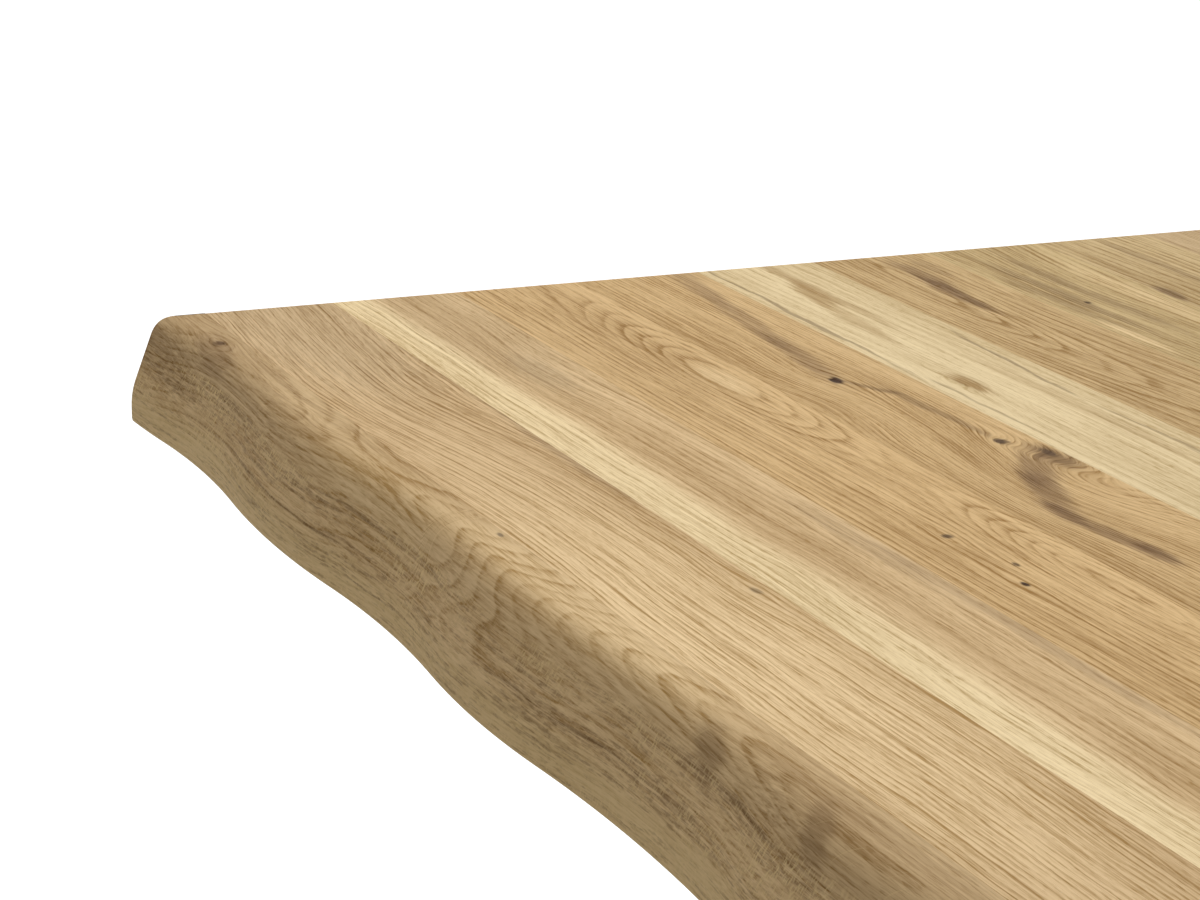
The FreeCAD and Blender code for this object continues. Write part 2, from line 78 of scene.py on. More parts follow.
# %% [markdown]
# ## Formulas that become nodes
#
# Wood, powder coat and zinc are all drawn by formulas here: a noise, stretched and
# added to another noise, then turned into a colour. Wiring dozens of Math nodes by
# hand is slow to read, so a small class stands for "a number that varies over the
# surface". Adding or multiplying two of them makes the Math node and its links.

# %% A number that varies over the surface
class Varying:
    """A value in a material; adding, subtracting, multiplying or dividing makes a Math node."""

    def __init__(self, tree, socket):
        self.tree = tree
        self.socket = socket

    def join(self, operation, *others):
        node = self.tree.nodes.new("ShaderNodeMath")
        node.operation = operation
        for slot, value in zip(node.inputs, (self,) + others):
            feed(self.tree, slot, value)
        return Varying(self.tree, node.outputs[0])

    def __add__(self, other):
        return self.join("ADD", other)

    def __sub__(self, other):
        return self.join("SUBTRACT", other)

    def __mul__(self, other):
        return self.join("MULTIPLY", other)

    def __truediv__(self, other):
        return self.join("DIVIDE", other)

    def between(self, low, high):
        """A soft step: 0 below low, 1 above high (or the other way round when low > high)."""
        node = self.tree.nodes.new("ShaderNodeMapRange")
        node.interpolation_type = "SMOOTHSTEP"
        for slot, value in zip(node.inputs[:3], (self, low, high)):
            feed(self.tree, slot, value)
        return Varying(self.tree, node.outputs[0])


def feed(tree, slot, value):
    """Link a varying value to a socket, or write a plain number into it."""
    if isinstance(value, Varying):
        tree.links.new(value.socket, slot)
    else:
        slot.default_value = value


print("varying numbers ready")

# %% [markdown]
# ## Where a point is
#
# A pattern needs a place to read. Generated coordinates stretch with each piece's box,
# and a UV map has seams at the arrises. Object coordinates are true sizes and run
# through the whole piece, so grain and powder keep their scale everywhere. They are
# turned into millimetres here, because a joiner thinks of wood in those.

# %% A place on the table
MM_IN_M = 1000.0
SEED_STEP = 13.7  # how many features a seed moves its noise along


class Place:
    """Where a point of the surface is, in millimetres along, across and up the table."""

    def __init__(self, tree, along, across, up):
        self.tree, self.along, self.across, self.up = tree, along, across, up
        joined = tree.nodes.new("ShaderNodeCombineXYZ")
        for slot, value in zip(joined.inputs, (along, across, up)):
            feed(tree, slot, value)
        self.vector = joined.outputs[0]

    def noise(self, lengths, seed, detail=2.0, rough=0.5, turn=(0.0, 0.0, 0.0)):
        """Noise around 0 whose features are about this long, wide and deep, turned by degrees."""
        spread = self.tree.nodes.new("ShaderNodeMapping")
        spread.vector_type = "TEXTURE"
        spread.inputs["Location"].default_value = [seed * SEED_STEP * length for length in lengths]
        spread.inputs["Rotation"].default_value = [math.radians(angle) for angle in turn]
        spread.inputs["Scale"].default_value = lengths
        self.tree.links.new(self.vector, spread.inputs["Vector"])
        texture = self.tree.nodes.new("ShaderNodeTexNoise")
        texture.inputs["Scale"].default_value = 1.0
        texture.inputs["Detail"].default_value = detail
        texture.inputs["Roughness"].default_value = rough
        self.tree.links.new(spread.outputs[0], texture.inputs["Vector"])
        return Varying(self.tree, texture.outputs["Fac"]) - 0.5


def place_on(material, corner=(0.0, 0.0, 0.0)):
    """The place on a piece with this material, measured from a corner in millimetres."""
    tree = material.node_tree
    split = tree.nodes.new("ShaderNodeSeparateXYZ")
    tree.links.new(tree.nodes.new("ShaderNodeTexCoord").outputs["Object"], split.inputs[0])
    axes = zip(split.outputs, corner)
    return Place(tree, *[Varying(tree, axis) * MM_IN_M - start for axis, start in axes])


print("places are measured in millimetres,", MM_IN_M, "to the metre")

# %% [markdown]
# ## Colours and relief
#
# The colours below are written as a screen shows them, because that is how one compares
# them with a photograph, and turned into the linear light that a shader works in. Mix
# nodes lay one over another. Fine texture is relief: a bump tilts the shading and costs
# no triangles, which is enough for pores and powder a fraction of a millimetre deep.

# %% Colours and relief
def tone(red, green, blue):
    """A colour as seen on a screen, 0 to 255, turned into the linear values that sockets take."""
    values = []
    for channel in (red, green, blue):
        share = channel / 255
        values.append(share / 12.92 if share <= 0.04045 else ((share + 0.055) / 1.055) ** 2.4)
    return (*values, 1.0)


def blend(tree, amount, under, over, mode="MIX"):
    """Mix two colours, each a tuple or a socket, by a varying amount."""
    # a Mix node has sockets for every kind of value: 6 and 7 take its colours, and output 2 is one
    node = tree.nodes.new("ShaderNodeMix")
    node.data_type = "RGBA"
    node.blend_type = mode
    feed(tree, node.inputs[0], amount)
    for slot, colour in ((node.inputs[6], under), (node.inputs[7], over)):
        if isinstance(colour, tuple):
            slot.default_value = colour
        else:
            tree.links.new(colour, slot)
    return node.outputs[2]


def new_finish(name):
    """An empty finish: the material and its shader node."""
    material = bpy.data.materials.new(name)
    material.use_nodes = True
    return material, material.node_tree.nodes["Principled BSDF"]


def relief(material, shader, height, depth):
    """Bump from a varying height, depth in metres."""
    tree = material.node_tree
    bump = tree.nodes.new("ShaderNodeBump")
    bump.inputs["Strength"].default_value = 1.0
    bump.inputs["Distance"].default_value = depth
    feed(tree, bump.inputs["Height"], height)
    tree.links.new(bump.outputs["Normal"], shader.inputs["Normal"])


print("oiled oak in linear light:", [round(c, 3) for c in tone(205, 175, 131)])

# %% [markdown]
# ## Grain and growth rings
#
# A stave is cut from a log, so its figure is a slice through rings round the pith. A
# flat picture of grain would stop at every edge. A solid pattern runs on over the
# rounded crown and down the face as real wood does. The fibres come first: a line
# across the stave that sways, and parts round each knot. The rings are then the
# distance from the pith along that line, counted in years. Where a branch pushed the
# rings up or down, a swell gives the nested ovals and pointed arches that a joiner
# calls cathedrals. A fin is a swell with one steep side, for the stacked arcs where the
# cutter breaks out through the rings.

# %% Grain and rings
TOP_CORNER = (-1000.0, -435.0, 760.0)
STAVES, FIRST_JOINT, STAVE_WIDTH = 18, 15.0, 51.2
FRONT_JOINT_OF_STAVE = {
    number: FIRST_JOINT + STAVE_WIDTH * (number - 2) for number in range(2, STAVES + 1)
}

# noises are given by the length, width and depth of their features, reaches in millimetres
SLOW_SWAY, SLOW_REACH = (330, 70, 70), 26.0
QUICK_SWAY, QUICK_REACH = (75, 18, 18), 7.0
RING_WANDER = (60, 9, 9)
FIN_START, FIN_FULL = -3.0, 9.0

# how dark a year is from its start to its end, and how much one year differs from another
YEAR_STOPS = ((0.0, 0.3), (0.06, 0.95), (0.15, 1.0), (0.32, 0.42), (0.62, 0.08), (0.94, 0.0), (1.0, 0.3))
FAINTEST_YEAR, YEAR_SPREAD, EARLY_TURN = 0.45, 0.7, 0.04


def hill(place, x, y, long, wide, slant=0.0, deep=24.0):
    """A soft round hill, 1 at its middle under the top face, fading over its three lengths."""
    tree = place.tree
    spread = tree.nodes.new("ShaderNodeMapping")
    spread.vector_type = "TEXTURE"
    spread.inputs["Location"].default_value = (x, y, 0.0)
    spread.inputs["Rotation"].default_value = (0.0, 0.0, math.atan(slant))
    spread.inputs["Scale"].default_value = (long, wide, deep)
    tree.links.new(place.vector, spread.inputs["Vector"])
    square = tree.nodes.new("ShaderNodeVectorMath")
    square.operation = "DOT_PRODUCT"
    tree.links.new(spread.outputs[0], square.inputs[0])
    tree.links.new(spread.outputs[0], square.inputs[1])
    fade = tree.nodes.new("ShaderNodeMath")
    fade.operation = "POWER"
    fade.inputs[0].default_value = math.exp(-1.0)
    tree.links.new(square.outputs["Value"], fade.inputs[1])
    return Varying(tree, fade.outputs[0])


def grain_line(place, sway, bends, knots, deep, seed):
    """The measure across the stave, from fibre to fibre: it sways, and parts round knots."""
    line = place.across + place.noise(SLOW_SWAY, seed, 1.0) * (sway * SLOW_REACH)
    line = line + place.noise(QUICK_SWAY, seed + 5, 2.0) * (sway * QUICK_REACH)
    for x, y, long, wide, shift in bends:
        line = line + hill(place, x, y, long, wide, 0.0, deep) * shift
    for x, y, long, wide, push in knots:
        line = line - (place.across - y) * hill(place, x, y, long, wide, 0.0, deep) * push
    return line


def rings(place, grain, pith, year, first, wander, swells, fins, deep, seed):
    """The count of years from the pith to each point of the stave."""
    beside = grain - pith[0]
    over = place.up - pith[1]
    count = (beside * beside + over * over).join("SQRT") / year + first
    count = count + place.noise(RING_WANDER, seed + 3, 3.0) * wander
    for x, y, long, wide, slant, years in swells:
        count = count + hill(place, x, y, long, wide, slant, deep) * years
    for x, y, long, wide, years in fins:
        rise = place.along.between(x + FIN_START, x + FIN_FULL)
        count = count + hill(place, x, y, long, wide, 0.0, deep) * rise * years
    return count


def year_band(count):
    """1 in the open pores that start a year, fading to 0 in its dense end, some years fainter."""
    tree = count.tree
    ramp = tree.nodes.new("ShaderNodeValToRGB")
    while len(ramp.color_ramp.elements) < len(YEAR_STOPS):
        ramp.color_ramp.elements.new(0.5)
    for element, (moment, dark) in zip(ramp.color_ramp.elements, YEAR_STOPS):
        element.position = moment
        element.color = (dark, dark, dark, 1.0)
    tree.links.new(count.join("FRACT").socket, ramp.inputs["Fac"])
    year = tree.nodes.new("ShaderNodeTexWhiteNoise")
    year.noise_dimensions = "1D"
    feed(tree, year.inputs["W"], (count + EARLY_TURN).join("FLOOR"))
    strength = Varying(tree, year.outputs["Value"]) * YEAR_SPREAD + FAINTEST_YEAR
    return Varying(tree, ramp.outputs["Color"]) * strength


print("glue joints of the staves:", len(FRONT_JOINT_OF_STAVE))

# %% [markdown]
# ## The oak finish
#
# Oiled oak is a warm golden tan with several scales of detail: broad stripes a finger
# wide, lines a millimetre or two wide where each year begins, finer fibres between
# them, and short dashes where open pores are cut along their length. A photo texture
# would give this at once, but it repeats and it doesn't turn round an edge. Here each
# scale is its own noise, stretched along the fibres. Streaks, knots and sapwood are
# soft hills of colour whose rims are frayed by the same fibres. The drawing of the grain
# is multiplied over all of that, so a stain never hides the fibres in it.

# %% Oak
SAPWOOD = tone(232, 209, 163)
TOP_LENGTH = 2000.0

# features of the wood, in millimetres along the fibres, across them and down
PORE, FIBRE, STRAND = (6, 0.5, 0.5), (32, 0.8, 0.8), (190, 3.0, 3.0)
THIN_LINE, STRIPE, CLOUD = (60, 0.85, 0.85), (900, 17, 17), (140, 38, 38)
BROKEN_LINE, SAP_RIM, STAIN_SHAKE = (150, 12, 12), (160, 30, 30), (34, 7, 7)

# how much each feature darkens the wood
PORE_SHADE, PORE_IN_BAND, THIN_SHADE, EVEN_SHADE = 0.1, 0.14, 0.2, 0.12
FIBRE_SHADE, STRAND_SHADE, STRIPE_SHADE, CLOUD_SHADE = 0.8, 0.5, 0.65, 0.45

# how deep the saw darkens the end grain, and how much the palest and the darkest lines
# change a board's colour, as linear red, green and blue
SAWN_FROM, SAWN_FULL = 2.5, 0.3
PALE_GAIN = (1.26, 1.28, 1.33, 1.0)
SHADE_GAIN = (0.56, 0.45, 0.27, 1.0)
OIL_GLOSS, OAK_RELIEF = 0.06, 0.00008

# where a stain and the drawing start and are full, and how far sapwood and stains wander
STAIN_RIM, DRAWING_RANGE = (0.12, 0.95), (-0.2, 0.95)
SAP_REACH, SHAKE_REACH = 8.0, 6.0


def oak(name, colour, pith, year=2.6, first=0.0, wander=0.5, sway=0.4, bends=(), knots=(), swells=(),
        fins=(), stains=(), sap=None, line=0.35, fine=1.0, deep=24.0, seed=1.0, extra=None):
    """The finish of one stave. Places are millimetres from the top's far left corner."""
    material, shader = new_finish(name)
    tree = material.node_tree
    place = place_on(material, TOP_CORNER)
    grain = grain_line(place, sway, bends, knots, deep, seed)
    bent = Place(tree, place.along, grain, place.up)

    band = year_band(rings(place, grain, pith, year, first, wander, swells, fins, deep, seed))
    pores = bent.noise(PORE, seed + 17, 1.0).between(0.02, 0.16)
    fibre = bent.noise(FIBRE, seed + 23, 3.0, 0.7)
    strand = bent.noise(STRAND, seed + 27, 3.0, 0.6)
    drawn = bent.noise(BROKEN_LINE, seed + 13, 2.0).between(-0.3, 0.2) * 0.6 + 0.5
    band = band * drawn * (fibre.between(0.2, -0.2) * 0.7 + 0.6)
    stripe = bent.noise(STRIPE, seed + 29, 2.0)
    cloud = place.noise(CLOUD, seed + 31, 2.0)
    thin = bent.noise(THIN_LINE, seed + 19, 2.0, 0.65).between(0.02, 0.1)
    dark = band * line + pores * (band * PORE_IN_BAND + PORE_SHADE) + thin * (THIN_SHADE * fine) + EVEN_SHADE
    dark = dark - fibre * (FIBRE_SHADE * fine) - strand * (STRAND_SHADE * fine)
    dark = dark - stripe * STRIPE_SHADE - cloud * CLOUD_SHADE
    far_end = place.along.between(SAWN_FROM, SAWN_FULL)
    near_end = place.along.between(TOP_LENGTH - SAWN_FROM, TOP_LENGTH - SAWN_FULL)
    dark = dark + (far_end + near_end) * (band * 0.5 + 0.08)

    wood = tone(*colour)
    if sap:
        rim = grain + place.noise(SAP_RIM, seed + 37, 2.0) * SAP_REACH - fibre * 6.0
        wood = blend(tree, rim.between(sap[1], sap[0]) * 0.9, wood, SAPWOOD)
    frayed = fibre * -1.9 - strand * 1.5 + 1.2
    shake = place.noise(STAIN_SHAKE, seed + 43, 3.0) * SHAKE_REACH
    shaken = Place(tree, place.along, place.across + shake, place.up)
    for x, y, long, wide, slant, amount, stain in stains:
        spot = hill(shaken, x, y, long, wide, slant, deep) * frayed
        wood = blend(tree, spot.between(*STAIN_RIM) * amount, wood, stain)
    drawing = blend(tree, dark.between(*DRAWING_RANGE), PALE_GAIN, SHADE_GAIN)
    wood = blend(tree, 1.0, wood, drawing, "MULTIPLY")
    if extra:
        wood = extra(tree, place, wood)

    tree.links.new(wood, shader.inputs["Base Color"])
    feed(tree, shader.inputs["Roughness"], pores * 0.14 + band * 0.05 + 0.6)
    shader.inputs["Specular IOR Level"].default_value = OIL_GLOSS
    relief(material, shader, pores * -0.6 - band * 0.25 + fibre * 0.4, OAK_RELIEF)
    return material


print("oak finish ready, for a top %.0f mm long" % TOP_LENGTH)

# %% [markdown]
# ## Every stave its own board
#
# No two staves of a glued top come from the same place in the log. The ones that the
# photograph shows are given their own figure: nested ovals in the fourth, a dark
# streak and knots in the fifth, pale sapwood in the third and sixth. One shared pattern
# with another seed for each would be shorter, but it could not put a knot in its place.

# %% Stave figures
UMBER = tone(96, 66, 30)
PLUM = tone(104, 74, 46)
BLACK_KNOT = tone(62, 40, 20)
OCHRE = tone(140, 102, 40)
GREY_WOOD = tone(176, 152, 116)
GOLD = tone(240, 212, 164)

# each bend is: along, across, length, width, shift
# each knot is: along, across, length, width, push
# each swell is: along, across, length, width, slant, years
# each fin is: along, across, length, width, years
# each stain is: along, across, length, width, slant, amount, shade
boards = {
    2: dict(
        colour=(205, 175, 131), pith=(150, -40), year=1.9, wander=0.8, sway=0.5, line=0.46, fine=1.35,
        bends=[(140, 38, 105, 45, 16.0)], swells=[(250, 68, 85, 9, 0, -3.0)], knots=[(417, 61, 22, 5, 0.7)],
        stains=[
            (245, 67, 80, 4, 0, 0.31, UMBER), (417, 61, 4, 1.2, 0, 1.0, BLACK_KNOT),
            (40, 42, 120, 34, 0, 0.5, GREY_WOOD), (480, 36, 200, 40, 0, 0.55, GOLD),
        ],
    ),
    3: dict(
        colour=(208, 178, 133), pith=(-60, -150), year=2.2, wander=0.9, sway=0.6, line=0.3, sap=(77, 90),
        swells=[(95, 121, 55, 9, 0, 2.4)], bends=[(145, 99, 60, 14, 5.0)],
        stains=[
            (140, 100, 32, 8, 0, 0.4, GREY_WOOD), (60, 100, 120, 24, 0, 0.3, GREY_WOOD),
            (480, 115, 120, 3.0, 0, 0.3, PLUM), (390, 111, 60, 3.5, 0, 0.27, UMBER),
        ],
    ),
    4: dict(
        colour=(206, 173, 123), pith=(160, -60), year=1.5, first=0.4, wander=0.9, sway=0.25,
        line=0.5, fine=1.2,
        swells=[(175, 156, 108, 20, 0, -7.0), (455, 161, 95, 15, 0, -8.5)],
        knots=[(440, 137, 20, 5, 0.6), (386, 139, 16, 5, 0.5)],
        stains=[
            (386, 139, 2.5, 1.5, 0, 0.8, BLACK_KNOT), (440, 137, 2.5, 1.2, 0, 1.0, BLACK_KNOT),
            (421, 144, 2.5, 1.0, 0, 0.8, BLACK_KNOT), (174, 156, 26, 7, 0, 0.4, GOLD),
            (90, 142, 170, 40, 0, 0.1, UMBER),
        ],
    ),
    5: dict(
        colour=(201, 169, 120), pith=(120, -70), year=1.2, wander=0.8, sway=0.4, line=0.45, fine=1.15,
        bends=[(225, 178, 45, 14, -7.0), (354, 197, 54, 20, 13.0)],
        knots=[
            (190, 193, 34, 10, 0.8), (289, 208, 18, 6, 0.7), (314, 214, 40, 12, 0.75), (377, 185, 22, 6, 0.6),
        ],
        swells=[(350, 212, 55, 18, -0.15, 7.0)],
        stains=[
            (10, 211, 60, 5.5, -0.11, 0.36, PLUM), (90, 203, 55, 5, -0.11, 0.36, PLUM),
            (155, 196.5, 42, 6, -0.1, 0.45, PLUM), (191, 193, 5.5, 1.9, -0.1, 1.1, BLACK_KNOT),
            (205, 200, 16, 2.0, 0.4, 0.47, UMBER), (250, 206, 45, 2.2, 0.05, 0.39, UMBER),
            (289, 208, 4, 1.8, 0, 0.9, BLACK_KNOT), (312, 215, 17, 5.5, 0, 0.74, UMBER),
            (308, 215.5, 6, 2.2, 0, 0.7, BLACK_KNOT), (325, 202, 24, 7, -0.4, 0.5, PLUM),
            (350, 192, 28, 6, -0.25, 0.55, PLUM), (377, 185, 16, 4.6, 0, 0.66, PLUM),
            (405, 187, 26, 3.6, 0.1, 0.55, PLUM), (427, 189, 14, 3.8, 0, 0.62, PLUM),
        ],
    ),
    6: dict(
        colour=(218, 196, 152), pith=(60, -210), year=3.0, wander=0.8, sway=0.5, line=0.14, fine=0.75,
        knots=[(212, 231, 20, 7, 0.85), (195, 266, 24, 5, 0.6)],
        stains=[
            (40, 250, 90, 3.4, 0, 0.43, OCHRE), (62, 245, 30, 4.5, -0.1, 0.58, OCHRE),
            (108, 241, 40, 4.0, -0.05, 0.39, OCHRE), (213, 235, 17, 3.6, 0, 0.74, OCHRE),
            (90, 224, 110, 1.0, -0.01, 0.5, UMBER), (240, 225, 45, 0.9, 0.0, 0.4, UMBER),
            (190, 264, 55, 1.0, -0.06, 0.5, UMBER), (300, 262, 40, 0.9, 0.0, 0.4, UMBER),
            (250, 255, 90, 5.0, 0, 0.23, OCHRE),
        ],
    ),
    7: dict(
        colour=(194, 165, 118), pith=(296, -52), year=1.5, wander=0.8, sway=0.4, line=0.6, fine=1.3,
        bends=[(280, 300, 110, 40, -8.0)],
        swells=[(60, 291, 150, 12, -0.03, -6.0)], knots=[(66, 299, 46, 7, 0.6)],
        stains=[
            (80, 298, 34, 4.4, -0.02, 0.66, PLUM), (40, 301, 30, 5.0, 0, 0.47, PLUM),
            (70, 299, 16, 2.0, 0, 0.39, UMBER), (30, 311, 20, 4, 0, 0.27, UMBER),
        ],
    ),
    8: dict(
        colour=(189, 164, 117), pith=(420, -60), year=1.9, wander=0.8, sway=0.6, line=0.5, fine=1.2,
        bends=[(90, 352, 80, 30, 6.0)],
        stains=[
            (95, 336, 70, 3.4, 0, 0.47, UMBER), (110, 329, 60, 2.6, 0, 0.31, UMBER),
            (95, 347, 80, 4.0, 0, 0.35, UMBER), (111, 338, 2.5, 1.0, 0, 0.9, BLACK_KNOT),
            (170, 327, 30, 3.0, 0, 0.5, GOLD), (120, 364, 90, 6.0, 0, 0.3, GOLD),
        ],
    ),
    9: dict(
        colour=(191, 166, 121), pith=(300, -140), year=1.9, wander=0.8, sway=0.6, line=0.46, fine=1.2,
        stains=[(108, 376, 14, 3.4, 0, 0.62, PLUM), (60, 400, 60, 3, 0, 0.27, UMBER)],
    ),
}

print("boards with a figure of their own:", len(boards))

# %% [markdown]
# ## The rest of the boards
#
# The other staves, and the ends of the first ones that the photograph doesn't reach,
# get swells, streaks and knots from a draw. Placing them all by hand would be dull and
# would look it. The draw has a fixed seed, so the top is varied and comes out the same
# every time.

# %% Draw the other boards
import random

PHOTO_REACH, FIRST_FEATURE, LAST_FEATURE = 760.0, 80.0, 1950.0  # along the top

draw = random.Random(7)
for number in range(2, STAVES):
    front = FRONT_JOINT_OF_STAVE[number]
    board = boards.setdefault(number, {})
    by_hand = bool(board)
    if not by_hand:
        shade = draw.uniform(-12, 10)
        flat_sawn = draw.random() < 0.5
        board.update(
            colour=(196 + shade, 170 + shade, 129 + shade * 0.8),
            pith=(front + STAVE_WIDTH / 2 + draw.uniform(-12, 12), draw.uniform(-90, -45)) if flat_sawn
            else (front + draw.choice((-120, 180)), draw.uniform(-120, -20)),
            year=draw.uniform(1.4, 2.3), sway=draw.uniform(0.3, 0.6),
            wander=draw.uniform(0.5, 0.8), line=draw.uniform(0.3, 0.48),
        )
    swells, stains, knots = [list(board.get(kind, ())) for kind in ("swells", "stains", "knots")]
    start = PHOTO_REACH if by_hand else FIRST_FEATURE
    while start < LAST_FEATURE:
        start += draw.uniform(120, 420)
        y = front + draw.uniform(10, 41)
        swells.append((start, y, draw.uniform(70, 150), draw.uniform(10, 24), 0, draw.uniform(-5, 4)))
        if draw.random() < 0.4:
            length = draw.uniform(16, 60)
            width = draw.uniform(2.5, 5)
            slant = draw.uniform(-0.06, 0.06)
            stains.append((start, y, length, width, slant, draw.uniform(0.3, 0.65), PLUM))
            if draw.random() < 0.5:
                knots.append((start + length * 0.6, y, 28, 8, 0.75))
                stains.append((start + length * 0.6, y, 5, 1.8, 0, 1.0, BLACK_KNOT))
    board.update(swells=swells, stains=stains, knots=knots)
print("boards:", len(boards), "swells:", sum(len(b["swells"]) for b in boards.values()))

# %% [markdown]
# ## Finish of the straight staves
#
# A straight stave is a bar with planed arrises, and its solid already has that form. A
# new mesh would gain nothing, so the solids stay and only get their finish: one
# material each, because each is its own board.

# %% Finish the straight staves
SEED_OF_STAVE = 7.3

for number, board in boards.items():
    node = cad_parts["stave_%02d" % number]
    node.data.materials.clear()
    node.data.materials.append(oak("oak_stave_%02d" % number, seed=number * SEED_OF_STAVE, **board))
print("finished staves:", len(boards))

# %% [markdown]
# ## The live edges
#
# The front and back edge staves carry the milled live edge: an upright foot, a wide
# curve into a leaning face, a rounded crown, and all of it swinging out and in along
# the table. A lattice or a displacement could bend a straight bar, but both change
# the section where the wave is steep. A spindle cutter follows arcs and keeps its
# section, so the piece is made the same way: the section is drawn once with extrude
# and spin, then spun round the centre of each half wave in turn.

# %% The edge's measures, in millimetres
HALF_WAVES = (105, 92, 113, 100, 90, 145, 98, 120, 86, 109, 131, 94)
WAVE_SLOPE = math.radians(4.8)
FACE_LEAN = math.radians(21)
CROWN_BREAK = math.radians(5)
FACE_FOOT, FACE_FOOT_ROUND, CROWN_ROUND = 11.0, 30.0, 10.5
TOP_ARRIS, LOWER_ARRIS = 3.0, 1.5
THICKNESS, FRONT_LINE = 40.0, -450.0
UNDERSIDE, HALF_LENGTH = TOP_CORNER[2] - THICKNESS, TOP_LENGTH / 2
LEAD_IN, RUN_OUT = 70.0, 30.0  # how far the waves start before the top and run on after it


def wave_path(shift):
    """Each half wave as its middle, radius, centre and side (1 swings outwards)."""
    start, waves = -HALF_LENGTH - LEAD_IN - shift, []
    while start < HALF_LENGTH + RUN_OUT:
        length = HALF_WAVES[len(waves) % len(HALF_WAVES)]
        waves.append((start + length / 2, length, 1 if len(waves) % 2 == 0 else -1))
        start += length
    crests = [length for middle, length, side in waves if side > 0 and abs(middle) < HALF_LENGTH]
    swing = max(crests) / 2 * math.tan(WAVE_SLOPE / 2)
    path = []
    for middle, length, side in waves:
        radius = length / 2 / math.sin(WAVE_SLOPE)
        path.append((middle, radius, FRONT_LINE + swing + side * radius * math.cos(WAVE_SLOPE), side))
    return path


print("half waves on the front edge:", len(wave_path(0.0)))

# %% [markdown]
# ## The cutter's section
#
# The section is drawn once, from the lower arris up: a point is extruded up the foot,
# spun through the curve, extruded up the leaning face and spun over the crown. A curve
# object with a bevel could carry it too, but its corners thin out where the path bends.

# %% The section
FOOT_STEPS, CURVE_STEPS, FACE_STEPS, CROWN_STEPS = 3, 7, 6, 14
FIRST_POINT = 1.0  # the size of a plane that is merged to one point


def mm(*values):
    """Millimetres turned into the metres that operators take."""
    return tuple(value / MM_IN_M for value in values)


def pick(test):
    """Select the vertices of the mesh in edit mode whose place in millimetres passes a test."""
    piece = bpy.context.object
    bpy.ops.mesh.select_all(action="DESELECT")
    bpy.ops.object.mode_set(mode="OBJECT")
    for vertex in piece.data.vertices:
        vertex.select = test(vertex.co * MM_IN_M)
    bpy.ops.object.mode_set(mode="EDIT")


def draw_section(x, y):
    """The cutter's section, from the lower arris up over the crown, in edit mode."""
    bpy.ops.mesh.primitive_plane_add(size=mm(FIRST_POINT)[0], location=mm(x, y, UNDERSIDE))
    bpy.ops.object.transform_apply(location=True, rotation=False, scale=False)
    bpy.ops.object.mode_set(mode="EDIT")
    bpy.ops.mesh.merge(type="CENTER")
    reach = FACE_FOOT_ROUND * math.tan(FACE_LEAN / 2)
    foot = FACE_FOOT - reach
    for step in range(FOOT_STEPS):
        bpy.ops.mesh.extrude_region_move(TRANSFORM_OT_translate={"value": mm(0, 0, foot / FOOT_STEPS)})
    bpy.ops.mesh.spin(steps=CURVE_STEPS, angle=FACE_LEAN, axis=(1, 0, 0),
                      center=mm(x, y + FACE_FOOT_ROUND, UNDERSIDE + foot))
    crown_height = THICKNESS - CROWN_ROUND * math.cos(CROWN_BREAK)
    face_top = crown_height + CROWN_ROUND * math.sin(FACE_LEAN)
    face_inset = (face_top - FACE_FOOT) * math.tan(FACE_LEAN)
    rise = face_top - FACE_FOOT - reach * math.cos(FACE_LEAN)
    face_step = mm(0, rise * math.tan(FACE_LEAN) / FACE_STEPS, rise / FACE_STEPS)
    for step in range(FACE_STEPS):
        bpy.ops.mesh.extrude_region_move(TRANSFORM_OT_translate={"value": face_step})
    inset = face_inset + CROWN_ROUND * math.cos(FACE_LEAN)
    bpy.ops.mesh.spin(steps=CROWN_STEPS, angle=math.pi / 2 - FACE_LEAN - CROWN_BREAK, axis=(1, 0, 0),
                      center=mm(x, y + inset, UNDERSIDE + crown_height))
    bpy.ops.mesh.select_all(action="SELECT")


print("steps in the section:", FOOT_STEPS + CURVE_STEPS + FACE_STEPS + CROWN_STEPS)

# %% [markdown]
# ## Along the waves, and sawn off
#
# Spinning the section about each wave's centre makes the face and crown. Its two rims
# are then pulled flat to the glue joint and bridged, which closes the bar. It is made
# too long, and bisected square at both ends, as a saw does it. A bevel would have to
# follow the wavy rim, so the ends' arrises are planed by a few tilted cuts as well.

# %% One live edge
WAVE_STEP, LEAST_STEPS = 5.0, 6
TOUCH, PULL, MERGE_WITHIN = 0.01, 5.0, 0.001  # what counts as on a plane, a first pull, and doubles
TOP_TILTS, LOWER_TILTS = range(12, 90, 13), (25, 50, 75)  # degrees
SMOOTH_UNDER = math.radians(28)
FRONT_JOINT = TOP_CORNER[1] + FIRST_JOINT


def spin_waves(path):
    """Spin the section on from the middle of the first crest to the last half wave."""
    for number, (middle, radius, centre_y, side) in enumerate(path):
        turn = WAVE_SLOPE if number == 0 else 2 * WAVE_SLOPE
        steps = max(LEAST_STEPS, int(radius * turn / WAVE_STEP))
        bpy.ops.mesh.spin(steps=steps, angle=-side * turn, axis=(0, 0, 1), center=mm(middle, centre_y, 0))


